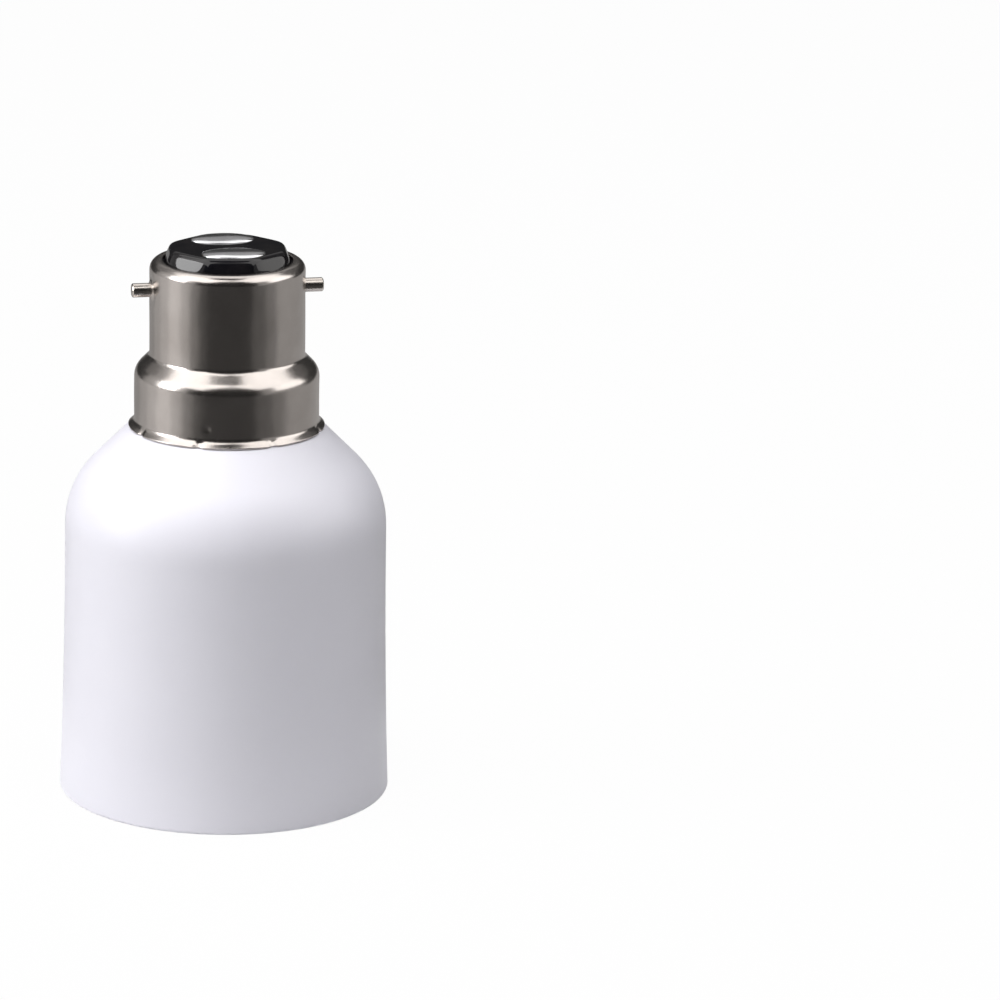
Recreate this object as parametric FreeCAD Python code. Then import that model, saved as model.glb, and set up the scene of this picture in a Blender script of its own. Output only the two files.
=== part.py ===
import FreeCAD, Part
import math
import os

# Adapter from a 22 mm bayonet lamp cap to an E40 screw socket, in millimetres.
# It stands on the rim of its mouth: z = 0 is the rim, +Z runs to the bayonet contacts, and the pins lie along X.

# Housing, outside
DOME_ABOVE_FLOOR = 3.86
DOME_RADIUS = 13.0
DOME_ANGLE = 45.0
RIM_OUTER_ROUND = 0.5
RIM_INNER_ROUND = 0.9

# Housing, inside
MOUTH_WALL = 2.4
BORE_DRAFT = 0.35
SHELL_GAP = 0.25
DOME_WALL = 2.0
TUBE_WALL = 2.0
NECK_WALL = 2.3
NECK_HEIGHT = 6.2
NECK_CLEARANCE = 0.05
FLOOR_THICKNESS = 3.55
RIB_COUNT = 8
RIB_THICKNESS = 1.4
RIB_SETBACK = 1.6

# Screw shell, rolled from sheet, E40 thread
SHELL_RIM_HEIGHT = 4.5
SHELL_SHEET = 0.35
THREAD_MAJOR_RADIUS = 19.9
THREAD_DEPTH = 1.8
THREAD_PITCH = 6.35
THREAD_TURNS = 3.4
THREAD_RUNOUT_TURNS = 0.6
COLLAR_HEIGHT = 2.2
COLLAR_SHEET = 0.7
COLLAR_INSET = 0.18
COLLAR_OVERLAP = 0.6
COLLAR_RUN = 0.3
LIP_HEIGHT = 0.8
LIP_FLARE = 0.35
PLAIN_WALL_HEIGHT = 1.5
DISH_DEPTH = 4.4
DISH_STEP_RADIUS = 15.6
STEP_SHELF = 0.55
STEP_RUN = 0.35
STEP_DEPTH = 0.6
STEP_BLEND = 0.4

# Screws that hold the shell to the floor
SCREW_OFFSET = 9.7
SCREW_HEAD_RADIUS = 4.0
SCREW_HEAD_HEIGHT = 2.3
SCREW_HEAD_EDGE = 0.9
SCREW_RADIUS = 1.95
SCREW_LENGTH = 11.0
SCREW_POINT = 1.2
SCREW_CLEARANCE = 0.05
RECESS_LENGTH = 4.4
RECESS_WIDTH = 0.9
RECESS_DEPTH = 1.3
BOSS_RADIUS = 3.6
BOSS_END_WALL = 1.5

# Sprung centre contact and its insulating bush
BUTTON_RADIUS = 3.45
BUTTON_CROWN = 0.5
BUTTON_REACH = 2.5
COLLAR_RADIUS = 4.32
COLLAR_THICKNESS = 1.2
PILOT_RADIUS = 2.2
PILOT_HEIGHT = 1.5
RUNNING_CLEARANCE = 0.08
BUSH_RADIUS = 5.05
BUSH_REACH = 5.0
BUSH_LIP = 1.2
BUSH_FLANGE_RADIUS = 5.75
BUSH_FLANGE_THICKNESS = 1.4
FIT_CLEARANCE = 0.1
SPRING_MEAN_RADIUS = 3.3
SPRING_WIRE_RADIUS = 0.3
SPRING_TURNS = 4.5

# Terminals behind the floor
TERMINAL_THICKNESS = 0.6
TERMINAL_TAB_WIDTH = 3.0
TERMINAL_TAB_HEIGHT = 5.0
TAG_THICKNESS = 0.5
TAG_WIDTH = 3.2
TAG_EYE_RADIUS = 3.3
TAG_REACH = 8.0
TAG_ANGLE = 36.0
TAG_TAB_HEIGHT = 7.0

# Bayonet cap shell, pressed from sheet
CAP_SHEET = 0.3
FLANGE_RADIUS = 13.92
FLANGE_HEIGHT = 1.0
SKIRT_RADIUS = 13.1
SKIRT_HEIGHT = 8.35
SHOULDER_ROUND = 2.6
SHOULDER_FILLET = 1.0
CAP_RADIUS = 11.0
CAP_HEIGHT = 24.12
CAP_LIP_RADIUS = 1.45
CAP_OPENING_RADIUS = 9.15
FLANGE_BEND_RADIUS = 0.5
LEDGE_SETBACK = 0.12
CRIMP_COUNT = 8
CRIMP_WIDTH = 0.5
CRIMP_DEPTH = 0.3

# Bayonet pins
PIN_RADIUS = 1.0
PIN_REACH = 2.65
PIN_BELOW_TOP = 4.07
PIN_SHANK_RADIUS = 0.8
PIN_HEAD_RADIUS = 1.5
PIN_HEAD_THICKNESS = 0.6
PIN_CHAMFER = 0.15

# Glass insulator and its two contacts
GLASS_CLEARANCE = 0.05
GLASS_STANDS_PROUD = 1.85
GLASS_FACETS = 8
GLASS_TURN = -7.0
GLASS_TOP_APOTHEM = 8.0
GLASS_SLOPE = 0.4
GLASS_EDGE_ROUND = 0.8
GLASS_RIM_DEPTH = 2.4
GLASS_BOSS_RADIUS = 8.2
GLASS_BOSS_DEPTH = 5.0
CONTACT_OFFSET = 4.55
CONTACT_HALF_LENGTH = 4.5
CONTACT_HALF_WIDTH = 2.8
CONTACT_PLATE = 0.4
SOLDER_HEIGHT = 0.63
EYELET_RADIUS = 1.3
EYELET_BORE_RADIUS = 0.6
EYELET_END_GAP = 1.0

# Internal wires
CORE_RADIUS = 0.45
SLEEVE_RADIUS = 0.95
SLEEVE_BORE_CLEARANCE = 0.05
BARE_END = 2.0
SLEEVE_START_GAP = 1.0
SLEEVE_END_GAP = 0.2
BEND_SHARE = 0.45
RISE_BESIDE_TAB = 0.3
RISE_AT_MIDDLE = 0.55
RISE_UNDER_GLASS = 0.78
MIDDLE_DRAW_IN = 0.45
MIDDLE_SLACK = 0.9

# How far a cutting tool runs past what it cuts
OVERRUN = 1.0

# Sections and poles that shape the rolled shell
SHELL_SECTIONS = 48
WALL_PIECES = 3
POLE_ROWS_PER_TURN = 4
POLE_STEP = 2.5
SEW_TOLERANCE = 0.0001

# Places that follow from the sizes above
MEAN_RADIUS = THREAD_MAJOR_RADIUS - THREAD_DEPTH / 2
THREAD_AMPLITUDE = THREAD_DEPTH / 2
THREAD_START_Z = SHELL_RIM_HEIGHT + COLLAR_HEIGHT
THREAD_END_Z = THREAD_START_Z + THREAD_PITCH * THREAD_TURNS
PLAIN_MIDDLE_Z = THREAD_END_Z + PLAIN_WALL_HEIGHT / 2
DISH_Z = THREAD_END_Z + PLAIN_WALL_HEIGHT
SHELF_Z = DISH_Z + DISH_DEPTH
SHELL_BOTTOM_Z = SHELF_Z + STEP_DEPTH
FLOOR_Z = SHELL_BOTTOM_Z + SHELL_SHEET
FLOOR_BACK_Z = FLOOR_Z + FLOOR_THICKNESS

MOUTH_BORE_RADIUS = THREAD_MAJOR_RADIUS + LIP_FLARE + COLLAR_SHEET + SHELL_GAP
MOUTH_RADIUS = MOUTH_BORE_RADIUS + MOUTH_WALL
INNER_WALL_RADIUS = MOUTH_BORE_RADIUS - BORE_DRAFT
WALL_RADIUS = INNER_WALL_RADIUS + DOME_WALL
WALL_HEIGHT = FLOOR_Z + DOME_ABOVE_FLOOR
DOME_CENTRE_RADIUS = WALL_RADIUS - DOME_RADIUS
DOME_TURN = math.radians(DOME_ANGLE)
DOME_END_RADIUS = DOME_CENTRE_RADIUS + DOME_RADIUS * math.cos(DOME_TURN)
DOME_END_Z = WALL_HEIGHT + DOME_RADIUS * math.sin(DOME_TURN)
LEDGE_RADIUS = FLANGE_RADIUS - LEDGE_SETBACK
LEDGE_Z = DOME_END_Z + (DOME_END_RADIUS - LEDGE_RADIUS) / math.tan(DOME_TURN)
NECK_RADIUS = SKIRT_RADIUS - CAP_SHEET - NECK_CLEARANCE
NECK_BORE_RADIUS = NECK_RADIUS - NECK_WALL
NECK_TOP_Z = LEDGE_Z + NECK_HEIGHT
TUBE_RADIUS = NECK_BORE_RADIUS + TUBE_WALL
INNER_DOME_RADIUS = DOME_RADIUS - DOME_WALL
INNER_DOME_END_RADIUS = DOME_CENTRE_RADIUS + INNER_DOME_RADIUS * math.cos(DOME_TURN)
INNER_DOME_END_Z = WALL_HEIGHT + INNER_DOME_RADIUS * math.sin(DOME_TURN)

SCREW_HOLE_RADIUS = SCREW_RADIUS + SCREW_CLEARANCE
SCREW_TIP_Z = SHELL_BOTTOM_Z + SCREW_LENGTH
BOSS_END_Z = SCREW_TIP_Z + BOSS_END_WALL

BUSH_FRONT_Z = SHELL_BOTTOM_Z - BUSH_REACH
BUSH_LIP_Z = BUSH_FRONT_Z + BUSH_LIP
BUTTON_TIP_Z = BUSH_FRONT_Z - BUTTON_REACH
TERMINAL_Z = FLOOR_BACK_Z - TERMINAL_THICKNESS
BUSH_FLANGE_Z = TERMINAL_Z - BUSH_FLANGE_THICKNESS
BUSH_HOLE_RADIUS = BUSH_RADIUS + FIT_CLEARANCE
COUNTERBORE_RADIUS = BUSH_FLANGE_RADIUS + FIT_CLEARANCE
COLLAR_BACK_Z = BUSH_LIP_Z + COLLAR_THICKNESS
SHELL_HOLE_RADIUS = BUSH_HOLE_RADIUS + FIT_CLEARANCE
SHELL_FLAT_RADIUS = DISH_STEP_RADIUS - STEP_SHELF - STEP_RUN

CAP_TOP_Z = LEDGE_Z + CAP_HEIGHT
CAP_BORE_RADIUS = CAP_RADIUS - CAP_SHEET
PIN_Z = CAP_TOP_Z - PIN_BELOW_TOP
PIN_TIP_RADIUS = CAP_RADIUS + PIN_REACH
GLASS_TOP_Z = CAP_TOP_Z + GLASS_STANDS_PROUD
GLASS_RIM_Z = CAP_TOP_Z - GLASS_RIM_DEPTH
GLASS_BOTTOM_Z = GLASS_RIM_Z - GLASS_BOSS_DEPTH
EYELET_END_Z = GLASS_BOTTOM_Z + EYELET_END_GAP

UP = FreeCAD.Vector(0, 0, 1)
ORIGIN = FreeCAD.Vector(0, 0, 0)


def at(radius, z):
    """Point of a half section, in the XZ plane."""
    return FreeCAD.Vector(radius, 0, z)


def line(start, end):
    return Part.makeLine(start, end)


def arc(centre, radius, from_degrees, to_degrees):
    """Arc in the XZ plane, from one angle to the other, measured from +X towards +Z."""
    points = []
    for share in (0.0, 0.5, 1.0):
        angle = math.radians(from_degrees + (to_degrees - from_degrees) * share)
        points.append(centre + FreeCAD.Vector(radius * math.cos(angle), 0, radius * math.sin(angle)))
    return Part.Arc(points[0], points[1], points[2]).toShape()


def revolved(edges):
    """Solid of revolution about Z, from the edges of a closed half section."""
    face = Part.Face(Part.Wire(Part.sortEdges(edges)[0]))
    return face.revolve(ORIGIN, UP, 360)


def polygon_revolved(points):
    edges = []
    for index, point in enumerate(points):
        edges.append(line(points[index - 1], point))
    return revolved(edges)


def cylinder(radius, bottom_z, top_z, x=0.0, y=0.0):
    return Part.makeCylinder(radius, top_z - bottom_z, FreeCAD.Vector(x, y, bottom_z), UP)


def block(x_low, x_high, y_low, y_high, z_low, z_high):
    corner = FreeCAD.Vector(x_low, y_low, z_low)
    return Part.makeBox(x_high - x_low, y_high - y_low, z_high - z_low, corner)


def turned(shape, degrees):
    copy = shape.copy()
    copy.rotate(ORIGIN, UP, degrees)
    return copy


def left_of(direction):
    return FreeCAD.Vector(-direction.z, 0, direction.x)


def bent_path(points, bends):
    """Edges along points, with each inner corner rounded to its bend radius."""
    edges = []
    start = points[0]
    for index in range(1, len(points) - 1):
        corner = points[index]
        before = (corner - points[index - 1]).normalize()
        after = (points[index + 1] - corner).normalize()
        half_turn = before.getAngle(after) / 2
        reach = bends[index - 1] * math.tan(half_turn)
        bend_start = corner - before * reach
        bend_end = corner + after * reach
        inward = (after - before).normalize()
        middle = corner + inward * bends[index - 1] * (1 / math.cos(half_turn) - 1)
        edges.append(line(start, bend_start))
        edges.append(Part.Arc(bend_start, middle, bend_end).toShape())
        start = bend_end
    edges.append(line(start, points[-1]))
    return edges


def offset_points(points, thickness):
    """Corners of the same path, moved a sheet's thickness to its left."""
    normals = []
    for index in range(len(points) - 1):
        normals.append(left_of((points[index + 1] - points[index]).normalize()))
    moved = [points[0] + normals[0] * thickness]
    for index in range(1, len(points) - 1):
        spread = 1 + normals[index - 1].dot(normals[index])
        moved.append(points[index] + (normals[index - 1] + normals[index]) * (thickness / spread))
    moved.append(points[-1] + normals[-1] * thickness)
    return moved


def sheet_section(points, bends, thickness):
    """Closed section of bent sheet: one side along points, the other a thickness to their left."""
    far_points = offset_points(points, thickness)
    far_bends = []
    for index, bend in enumerate(bends):
        before = points[index + 1] - points[index]
        after = points[index + 2] - points[index + 1]
        turns_left = left_of(before).dot(after) > 0
        far_bends.append(bend - thickness if turns_left else bend + thickness)
    edges = bent_path(points, bends) + bent_path(far_points, far_bends)
    edges.append(line(points[0], far_points[0]))
    edges.append(line(points[-1], far_points[-1]))
    return edges


def swept_solid(edges, radius, bore_radius=0.0):
    """Round bar or tube along a path of runs and tangent arcs."""
    path = Part.Wire(edges)
    start = path.OrderedVertexes[0].Point
    direction = (edges[0].Vertexes[-1].Point - start).normalize()
    outer = Part.Wire(Part.makeCircle(radius, start, direction))
    face = Part.Face(outer)
    if bore_radius > 0:
        inner = Part.Wire(Part.makeCircle(bore_radius, start, direction))
        face = Part.Face(outer).cut(Part.Face(inner)).Faces[0]
    return path.makePipe(face)


def routed(points):
    """Runs joined by tangent arcs as large as the two runs allow."""
    bends = []
    for index in range(1, len(points) - 1):
        before = points[index] - points[index - 1]
        after = points[index + 1] - points[index]
        half_turn = before.getAngle(after) / 2
        bends.append(BEND_SHARE * min(before.Length, after.Length) / math.tan(half_turn))
    return bent_path(points, bends), bends


def save(name, shape):
    if not shape.isValid():
        print("not valid:", name)
    shape.exportStep("parts/" + name + ".step")
    print(name, len(shape.Solids), round(shape.Volume, 2))


# Moulded housing
def flare_edge():
    """Gentle bell curve of the outer wall, upright where the dome starts."""
    rise = WALL_HEIGHT - RIM_OUTER_ROUND
    spread = MOUTH_RADIUS - WALL_RADIUS
    curve_radius = (rise ** 2 + spread ** 2) / (2 * spread)
    middle_drop = rise / 2
    middle_radius = WALL_RADIUS + curve_radius - math.sqrt(curve_radius ** 2 - middle_drop ** 2)
    low = at(MOUTH_RADIUS, RIM_OUTER_ROUND)
    middle = at(middle_radius, WALL_HEIGHT - middle_drop)
    return Part.Arc(low, middle, at(WALL_RADIUS, WALL_HEIGHT)).toShape()


def bore_radius_at(z):
    """The mouth bore narrows evenly towards the dome, so that the moulding leaves its core."""
    share = (z - RIM_INNER_ROUND) / (WALL_HEIGHT - RIM_INNER_ROUND)
    return MOUTH_BORE_RADIUS + (INNER_WALL_RADIUS - MOUTH_BORE_RADIUS) * share


def pocket_ring():
    """Ring behind the floor, between the central tube and the dome, before the ribs divide it."""
    low_z = FLOOR_Z + RIB_SETBACK
    dome_centre = at(DOME_CENTRE_RADIUS, WALL_HEIGHT)
    tube_top_z = INNER_DOME_END_Z + (INNER_DOME_END_RADIUS - TUBE_RADIUS) / math.tan(DOME_TURN)
    edges = [
        line(at(TUBE_RADIUS, low_z), at(bore_radius_at(low_z), low_z)),
        line(at(bore_radius_at(low_z), low_z), at(INNER_WALL_RADIUS, WALL_HEIGHT)),
        arc(dome_centre, INNER_DOME_RADIUS, 0, DOME_ANGLE),
        line(at(INNER_DOME_END_RADIUS, INNER_DOME_END_Z), at(TUBE_RADIUS, tube_top_z)),
        line(at(TUBE_RADIUS, tube_top_z), at(TUBE_RADIUS, low_z)),
    ]
    return revolved(edges)


def make_housing():
    back_z = FLOOR_Z + RIB_SETBACK
    rim_outer = at(MOUTH_RADIUS - RIM_OUTER_ROUND, RIM_OUTER_ROUND)
    rim_inner = at(MOUTH_BORE_RADIUS + RIM_INNER_ROUND, RIM_INNER_ROUND)
    corners = [
        at(DOME_END_RADIUS, DOME_END_Z),
        at(LEDGE_RADIUS, LEDGE_Z),
        at(NECK_RADIUS, LEDGE_Z),
        at(NECK_RADIUS, NECK_TOP_Z),
        at(NECK_BORE_RADIUS, NECK_TOP_Z),
        at(NECK_BORE_RADIUS, FLOOR_BACK_Z),
        at(COUNTERBORE_RADIUS, FLOOR_BACK_Z),
        at(COUNTERBORE_RADIUS, BUSH_FLANGE_Z),
        at(BUSH_HOLE_RADIUS, BUSH_FLANGE_Z),
        at(BUSH_HOLE_RADIUS, FLOOR_Z),
        at(TUBE_RADIUS, FLOOR_Z),
        at(TUBE_RADIUS, back_z),
        at(bore_radius_at(back_z), back_z),
        at(MOUTH_BORE_RADIUS, RIM_INNER_ROUND),
    ]
    edges = [
        line(at(MOUTH_BORE_RADIUS + RIM_INNER_ROUND, 0), at(MOUTH_RADIUS - RIM_OUTER_ROUND, 0)),
        arc(rim_outer, RIM_OUTER_ROUND, -90, 0),
        flare_edge(),
        arc(at(DOME_CENTRE_RADIUS, WALL_HEIGHT), DOME_RADIUS, 0, DOME_ANGLE),
        arc(rim_inner, RIM_INNER_ROUND, 180, 270),
    ]
    for index in range(len(corners) - 1):
        edges.append(line(corners[index], corners[index + 1]))
    body = revolved(edges)

    pockets = pocket_ring()
    for index in range(RIB_COUNT):
        rib = block(0, MOUTH_RADIUS, -RIB_THICKNESS / 2, RIB_THICKNESS / 2, FLOOR_Z, NECK_TOP_Z)
        pockets = pockets.cut(turned(rib, 360 * index / RIB_COUNT))
    body = body.cut(pockets)

    for side in (-1, 1):
        boss = cylinder(BOSS_RADIUS, FLOOR_Z + RIB_SETBACK, BOSS_END_Z, 0, side * SCREW_OFFSET)
        body = body.fuse(boss)
    for side in (-1, 1):
        hole = cylinder(SCREW_HOLE_RADIUS, FLOOR_Z - OVERRUN, SCREW_TIP_Z + SCREW_CLEARANCE, 0, side * SCREW_OFFSET)
        body = body.cut(hole)
    body = body.cut(tag_shape(FIT_CLEARANCE, FLOOR_BACK_Z + OVERRUN))
    return body.removeSplitter()


# Screw shell
def smooth_step(share):
    share = min(max(share, 0.0), 1.0)
    return share * share * (3 - 2 * share)


def thread_radius(angle, z):
    """Inner radius of the rolled wall: full at the collar, a wave along the thread, plain at its end."""
    runout = THREAD_PITCH * THREAD_RUNOUT_TURNS
    start = smooth_step((z - THREAD_START_Z) / runout)
    end = smooth_step((THREAD_END_Z - z) / runout)
    wave_gain = (2 + math.cos(2 * math.pi / POLE_ROWS_PER_TURN)) / 3
    wave = math.cos(2 * math.pi * (z - THREAD_START_Z) / THREAD_PITCH - angle) / wave_gain
    return MEAN_RADIUS + THREAD_AMPLITUDE * ((1 - start) + start * end * wave)


def stepped(points):
    """The same path with points added along its longer runs."""
    path = []
    for index in range(len(points) - 1):
        run = points[index + 1] - points[index]
        pieces = max(1, int(math.ceil(run.Length / POLE_STEP)))
        for piece in range(pieces):
            path.append(points[index] + run * (piece / pieces))
    path.append(points[-1])
    return path


def bottom_poles(offset):
    """Poles of one side of the shell from its plain wall over the dish to the flat of the bottom."""
    bottom = offset_points([
        at(MEAN_RADIUS, PLAIN_MIDDLE_Z),
        at(MEAN_RADIUS, DISH_Z),
        at(DISH_STEP_RADIUS, SHELF_Z),
        at(DISH_STEP_RADIUS - STEP_SHELF, SHELF_Z),
        at(SHELL_FLAT_RADIUS, SHELL_BOTTOM_Z),
        at(SHELL_FLAT_RADIUS - STEP_BLEND, SHELL_BOTTOM_Z),
        at(SHELL_FLAT_RADIUS - 2 * STEP_BLEND, SHELL_BOTTOM_Z),
        at(SHELL_FLAT_RADIUS - POLE_STEP, SHELL_BOTTOM_Z),
    ], -offset)
    return stepped(bottom)


def wall_poles(angle, offset):
    """Poles of one side of the threaded wall at one angle, from inside the collar to the plain wall."""
    rows = int(round(THREAD_TURNS * POLE_ROWS_PER_TURN))
    start_radius = THREAD_MAJOR_RADIUS + COLLAR_INSET + offset
    poles = [
        at(start_radius, THREAD_START_Z - COLLAR_OVERLAP),
        at(start_radius, THREAD_START_Z - COLLAR_OVERLAP / 2),
        at(start_radius, THREAD_START_Z),
        at(start_radius, THREAD_START_Z + COLLAR_RUN),
    ]
    for row in range(1, rows + 1):
        z = THREAD_START_Z + (THREAD_END_Z - THREAD_START_Z) * row / rows
        poles.append(at(thread_radius(angle, z) + offset, z))
    poles.append(at(MEAN_RADIUS + offset, PLAIN_MIDDLE_Z))
    return poles


def spline_pieces(poles, count):
    """The spline with these poles, as so many curves end to end."""
    edges = []
    for index in range(count):
        curve = Part.BSplineCurve()
        curve.buildFromPoles(poles)
        run = curve.LastParameter - curve.FirstParameter
        start = curve.FirstParameter + run * index / count
        curve.segment(start, start + run / count)
        edges.append(curve.toShape())
    return edges


def shell_side(angle, offset):
    """Edges along one side of the sheet at one angle, from inside the collar to the middle of the bottom."""
    edges = spline_pieces(wall_poles(angle, offset), WALL_PIECES)
    edges.extend(spline_pieces(bottom_poles(offset), 1))
    hole = at(SHELL_HOLE_RADIUS / 2, SHELL_BOTTOM_Z + offset)
    edges.append(line(edges[-1].Vertexes[-1].Point, hole))
    return edges


def shell_section(angle):
    """Edges round the sheet at one angle: its two sides, its rim and its middle."""
    near = shell_side(angle, 0.0)
    far = shell_side(angle, SHELL_SHEET)
    rim = line(near[0].Vertexes[0].Point, far[0].Vertexes[0].Point)
    middle = line(near[-1].Vertexes[-1].Point, far[-1].Vertexes[-1].Point)
    return [turned(edge, math.degrees(angle)) for edge in near + far + [rim, middle]]


def formed_sheet():
    """The rolled wall and bottom, ruled between sections that stand evenly round the axis."""
    sections = []
    for index in range(SHELL_SECTIONS):
        sections.append(shell_section(2 * math.pi * index / SHELL_SECTIONS))
    faces = []
    for index, section in enumerate(sections):
        for edge, last_edge in zip(section, sections[index - 1]):
            faces.append(Part.makeRuledSurface(last_edge, edge))
    skin = Part.makeShell(faces)
    skin.sewShape(SEW_TOLERANCE)
    sheet = Part.makeSolid(skin.Shells[0])
    if sheet.Volume < 0:
        sheet.reverse()
    return sheet


def collar_ring():
    """Plain rim that the thread starts from, flared at its edge to lead the lamp in."""
    outer = THREAD_MAJOR_RADIUS + COLLAR_SHEET
    return polygon_revolved([
        at(THREAD_MAJOR_RADIUS + LIP_FLARE, SHELL_RIM_HEIGHT),
        at(outer + LIP_FLARE, SHELL_RIM_HEIGHT),
        at(outer, SHELL_RIM_HEIGHT + LIP_HEIGHT),
        at(outer, THREAD_START_Z),
        at(THREAD_MAJOR_RADIUS, THREAD_START_Z),
        at(THREAD_MAJOR_RADIUS, SHELL_RIM_HEIGHT + LIP_HEIGHT),
    ])


def make_screw_shell():
    shell = formed_sheet().fuse(collar_ring())
    shell = shell.cut(cylinder(SHELL_HOLE_RADIUS, DISH_Z, FLOOR_Z + OVERRUN))
    for side in (-1, 1):
        hole = cylinder(SCREW_HOLE_RADIUS, DISH_Z, FLOOR_Z + OVERRUN, 0, side * SCREW_OFFSET)
        shell = shell.cut(hole)
    return shell


# Screws, tag and terminal
def make_screw(side):
    head_back_z = SHELL_BOTTOM_Z
    head_front_z = head_back_z - SCREW_HEAD_HEIGHT
    edge_z = head_back_z - SCREW_HEAD_EDGE
    crown = SCREW_HEAD_HEIGHT - SCREW_HEAD_EDGE
    crown_radius = (SCREW_HEAD_RADIUS ** 2 + crown ** 2) / (2 * crown)
    half_angle = math.degrees(math.asin(SCREW_HEAD_RADIUS / crown_radius))
    edges = [
        arc(at(0, head_front_z + crown_radius), crown_radius, -90, -90 + half_angle),
        line(at(SCREW_HEAD_RADIUS, edge_z), at(SCREW_HEAD_RADIUS, head_back_z)),
        line(at(SCREW_HEAD_RADIUS, head_back_z), at(SCREW_RADIUS, head_back_z)),
        line(at(SCREW_RADIUS, head_back_z), at(SCREW_RADIUS, SCREW_TIP_Z - SCREW_POINT)),
        line(at(SCREW_RADIUS, SCREW_TIP_Z - SCREW_POINT), at(SCREW_RADIUS / 2, SCREW_TIP_Z)),
        line(at(SCREW_RADIUS / 2, SCREW_TIP_Z), at(0, SCREW_TIP_Z)),
        line(at(0, SCREW_TIP_Z), at(0, head_front_z)),
    ]
    screw = revolved(edges)
    half_length = RECESS_LENGTH / 2
    half_width = RECESS_WIDTH / 2
    recess_z = head_front_z + RECESS_DEPTH
    slot = block(-half_length, half_length, -half_width, half_width, head_front_z - OVERRUN, recess_z)
    screw = screw.cut(slot.fuse(turned(slot, 90)))
    screw.translate(FreeCAD.Vector(0, side * SCREW_OFFSET, 0))
    return screw


def tag_shape(grow, top_z):
    """Solder tag: an eye under the shell's bottom, a strip, and a tab turned up through the floor."""
    low_z = FLOOR_Z - (OVERRUN if grow else 0)
    high_z = FLOOR_Z + TAG_THICKNESS + grow
    half_width = TAG_WIDTH / 2 + grow
    tab_near = TAG_REACH - TAG_THICKNESS - grow
    tab_far = TAG_REACH + grow
    shape = Part.makeCylinder(TAG_EYE_RADIUS + grow, high_z - low_z, FreeCAD.Vector(0, 0, low_z), UP)
    shape = shape.fuse(block(0, tab_far, -half_width, half_width, low_z, high_z))
    shape = shape.fuse(block(tab_near, tab_far, -half_width, half_width, low_z, top_z))
    shape = turned(shape, TAG_ANGLE)
    shape.translate(FreeCAD.Vector(0, -SCREW_OFFSET, 0))
    return shape


def make_shell_tag():
    tag = tag_shape(0.0, FLOOR_Z + TAG_TAB_HEIGHT)
    hole = cylinder(SCREW_HOLE_RADIUS, FLOOR_Z - OVERRUN, FLOOR_Z + TAG_THICKNESS + OVERRUN, 0, -SCREW_OFFSET)
    return tag.cut(hole).removeSplitter()


def make_contact_terminal():
    disc = cylinder(BUSH_FLANGE_RADIUS, TERMINAL_Z, FLOOR_BACK_Z)
    half_width = TERMINAL_TAB_WIDTH / 2
    tab_x = -math.sqrt(BUSH_FLANGE_RADIUS ** 2 - half_width ** 2)
    tab = block(tab_x, tab_x + TERMINAL_THICKNESS, -half_width, half_width,
                TERMINAL_Z, FLOOR_BACK_Z + TERMINAL_TAB_HEIGHT)
    return disc.fuse(tab).removeSplitter()


# Centre contact, bush and spring
def make_contact_bush():
    lip_radius = BUTTON_RADIUS + RUNNING_CLEARANCE
    bore_radius = COLLAR_RADIUS + RUNNING_CLEARANCE
    return polygon_revolved([
        at(lip_radius, BUSH_FRONT_Z),
        at(BUSH_RADIUS, BUSH_FRONT_Z),
        at(BUSH_RADIUS, BUSH_FLANGE_Z),
        at(BUSH_FLANGE_RADIUS, BUSH_FLANGE_Z),
        at(BUSH_FLANGE_RADIUS, TERMINAL_Z),
        at(bore_radius, TERMINAL_Z),
        at(bore_radius, BUSH_LIP_Z),
        at(lip_radius, BUSH_LIP_Z),
    ])


def make_centre_contact():
    crown_radius = (BUTTON_RADIUS ** 2 + BUTTON_CROWN ** 2) / (2 * BUTTON_CROWN)
    half_angle = math.degrees(math.asin(BUTTON_RADIUS / crown_radius))
    corners = [
        at(BUTTON_RADIUS, BUTTON_TIP_Z + BUTTON_CROWN),
        at(BUTTON_RADIUS, BUSH_LIP_Z),
        at(COLLAR_RADIUS, BUSH_LIP_Z),
        at(COLLAR_RADIUS, COLLAR_BACK_Z),
        at(PILOT_RADIUS, COLLAR_BACK_Z),
        at(PILOT_RADIUS, COLLAR_BACK_Z + PILOT_HEIGHT),
        at(0, COLLAR_BACK_Z + PILOT_HEIGHT),
        at(0, BUTTON_TIP_Z),
    ]
    edges = [arc(at(0, BUTTON_TIP_Z + crown_radius), crown_radius, -90, -90 + half_angle)]
    for index in range(len(corners) - 1):
        edges.append(line(corners[index], corners[index + 1]))
    return revolved(edges)


def make_contact_spring():
    """Coil spring between the contact's collar and the terminal, with a closed turn at each end."""
    low_z = COLLAR_BACK_Z + SPRING_WIRE_RADIUS
    height = TERMINAL_Z - SPRING_WIRE_RADIUS - low_z
    helix = Part.makeHelix(height / SPRING_TURNS, height, SPRING_MEAN_RADIUS)
    start = FreeCAD.Vector(SPRING_MEAN_RADIUS, 0, 0)
    profile = Part.Wire(Part.makeCircle(SPRING_WIRE_RADIUS, start, FreeCAD.Vector(0, 1, 0)))
    coil = Part.Wire(helix).makePipeShell([profile], True, True)
    coil.translate(FreeCAD.Vector(0, 0, low_z))
    return coil


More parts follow.
